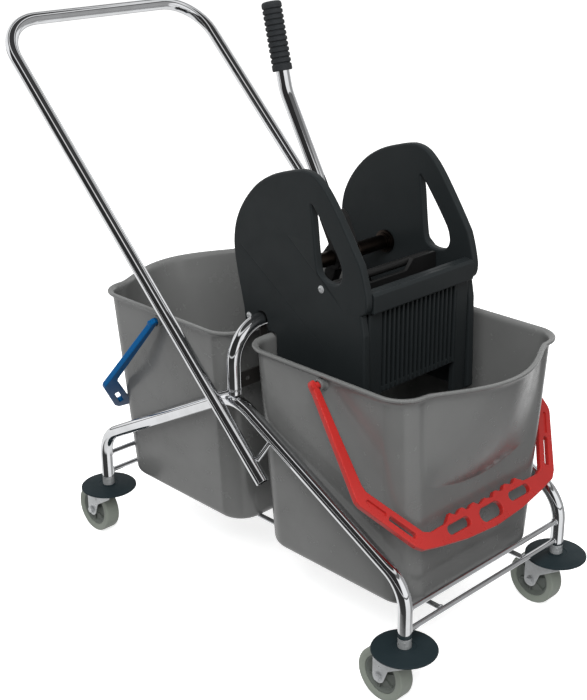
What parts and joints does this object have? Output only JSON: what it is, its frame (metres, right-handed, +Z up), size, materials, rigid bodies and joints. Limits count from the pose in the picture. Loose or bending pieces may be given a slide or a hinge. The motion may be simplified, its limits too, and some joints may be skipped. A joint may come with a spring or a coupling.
{
  "type": "mop bucket trolley with wringer",
  "caption": "Wheeled mop trolley: twin grey buckets with coloured bails in a bent-tube chrome frame, a push handle and a hanging lever wringer.",
  "frame": {"origin": "centre of the overall footprint, on the floor", "axes": "+X towards the front bucket that holds the wringer, +Y to the left side, +Z up"},
  "size_m": [0.8978, 0.438, 0.8932],
  "materials": {
    "chrome_tube": "bright chrome plate",
    "black_steel": "black, satin",
    "zinc_steel": "zinc plate, satin",
    "disc_rubber": "matt",
    "tyre_grey": "grey non-marking tread",
    "hub_plastic": "matt",
    "bucket_grey": "moulded, low sheen",
    "bail_red": "moulded, semi-gloss",
    "bail_blue": "moulded, semi-gloss",
    "wringer_black": "moulded, fine texture",
    "hub_black": "moulded, glass-filled",
    "shaft_steel": "dark brown oxide",
    "grip_rubber": "ribbed, matt"
  },
  "bodies": {
    "frame": {"side_rail_right": "chrome_tube", "side_rail_left": "chrome_tube", "wringer_arch": "chrome_tube", "push_handle": "chrome_tube", "upper_pin_right": "chrome_tube", "lower_pin_right": "chrome_tube", "upper_pin_left": "chrome_tube", "lower_pin_left": "chrome_tube", "cross_rod_lower_rear": "chrome_tube", "cross_rod_upper_rear": "chrome_tube", "cross_rod_lower_front": "chrome_tube", "cross_rod_upper_front": "chrome_tube", "base_rod_right": "chrome_tube", "base_rod_left": "chrome_tube", "arch_cross_bar": "black_steel", "rear_bucket": "bucket_grey", "caster_stem_rear_right": "zinc_steel", "caster_stem_rear_left": "zinc_steel", "caster_stem_front_right": "zinc_steel", "caster_stem_front_left": "zinc_steel"},
    "caster_rear_right": {"bumper_disc_rear_right": "disc_rubber", "caster_fork_rear_right": "zinc_steel", "axle_bolt_rear_right": "zinc_steel"},
    "wheel_rear_right": {"tyre_rear_right": "tyre_grey", "wheel_hub_rear_right": "hub_plastic"},
    "caster_rear_left": {"bumper_disc_rear_left": "disc_rubber", "caster_fork_rear_left": "zinc_steel", "axle_bolt_rear_left": "zinc_steel"},
    "wheel_rear_left": {"tyre_rear_left": "tyre_grey", "wheel_hub_rear_left": "hub_plastic"},
    "caster_front_right": {"bumper_disc_front_right": "disc_rubber", "caster_fork_front_right": "zinc_steel", "axle_bolt_front_right": "zinc_steel"},
    "wheel_front_right": {"tyre_front_right": "tyre_grey", "wheel_hub_front_right": "hub_plastic"},
    "caster_front_left": {"bumper_disc_front_left": "disc_rubber", "caster_fork_front_left": "zinc_steel", "axle_bolt_front_left": "zinc_steel"},
    "wheel_front_left": {"tyre_front_left": "tyre_grey", "wheel_hub_front_left": "hub_plastic"},
    "front_bucket": {"front_bucket": "bucket_grey"},
    "front_bail": {"front_bail": "bail_red"},
    "rear_bail": {"rear_bail": "bail_blue"},
    "wringer": {"wringer_cheek_right": "wringer_black", "wringer_cheek_left": "wringer_black", "wringer_grid": "wringer_black", "wringer_tie_rear": "hub_black", "wringer_tie_front": "hub_black", "wringer_screw_rear_right": "zinc_steel", "wringer_screw_rear_left": "zinc_steel", "wringer_screw_front_right": "zinc_steel", "wringer_screw_front_left": "zinc_steel"},
    "press": {"press_plate": "wringer_black"},
    "lever": {"wringer_shaft": "shaft_steel", "lever_hub": "hub_black", "return_spring": "zinc_steel", "wringer_lever": "chrome_tube", "lever_grip": "grip_rubber"}
  },
  "joints": [
    {"name": "caster_swivel_rear_right", "type": "hinge", "parent": "frame", "child": "caster_rear_right", "pos_m": [-0.26107, -0.173, 0.09], "axis": [0, 0, 1], "continuous": true},
    {"name": "wheel_spin_rear_right", "type": "hinge", "parent": "caster_rear_right", "child": "wheel_rear_right", "pos_m": [-0.29407, -0.173, 0.04], "axis": [0, 1, 0], "continuous": true},
    {"name": "caster_swivel_rear_left", "type": "hinge", "parent": "frame", "child": "caster_rear_left", "pos_m": [-0.26107, 0.173, 0.09], "axis": [0, 0, 1], "continuous": true},
    {"name": "wheel_spin_rear_left", "type": "hinge", "parent": "caster_rear_left", "child": "wheel_rear_left", "pos_m": [-0.29407, 0.173, 0.04], "axis": [0, 1, 0], "continuous": true},
    {"name": "caster_swivel_front_right", "type": "hinge", "parent": "frame", "child": "caster_front_right", "pos_m": [0.40293, -0.173, 0.09], "axis": [0, 0, 1], "continuous": true},
    {"name": "wheel_spin_front_right", "type": "hinge", "parent": "caster_front_right", "child": "wheel_front_right", "pos_m": [0.36993, -0.173, 0.04], "axis": [0, 1, 0], "continuous": true},
    {"name": "caster_swivel_front_left", "type": "hinge", "parent": "frame", "child": "caster_front_left", "pos_m": [0.40293, 0.173, 0.09], "axis": [0, 0, 1], "continuous": true},
    {"name": "wheel_spin_front_left", "type": "hinge", "parent": "caster_front_left", "child": "wheel_front_left", "pos_m": [0.36993, 0.173, 0.04], "axis": [0, 1, 0], "continuous": true},
    {"name": "front_bucket_lift", "type": "slide", "parent": "frame", "child": "front_bucket", "axis": [0, 0, 1], "range_m": [0, 0.15]},
    {"name": "front_bail_swing", "type": "hinge", "parent": "front_bucket", "child": "front_bail", "pos_m": [0.24393, 0, 0.431], "axis": [0, -1, 0], "range_deg": [0, 120]},
    {"name": "rear_bail_swing", "type": "hinge", "parent": "frame", "child": "rear_bail", "pos_m": [-0.10207, 0, 0.431], "axis": [0, 1, 0], "range_deg": [0, 80]},
    {"name": "wringer_lift", "type": "slide", "parent": "front_bucket", "child": "wringer", "axis": [0, 0, 1], "range_m": [0, 0.12]},
    {"name": "lever_pull", "type": "hinge", "parent": "wringer", "child": "lever", "pos_m": [0.10913, 0, 0.5413], "axis": [0, -1, 0], "range_deg": [0, 50], "stiffness_Nm_per_rad": 1.2, "springref_deg": -57.3},
    {"name": "press_slide", "type": "slide", "parent": "wringer", "child": "press", "axis": [1, 0, 0], "range_m": [0, 0.0474]}
  ],
  "couplings": [
    {"joint": "press_slide", "follows": "lever_pull", "m_per_rad": 0.05409}
  ]
}
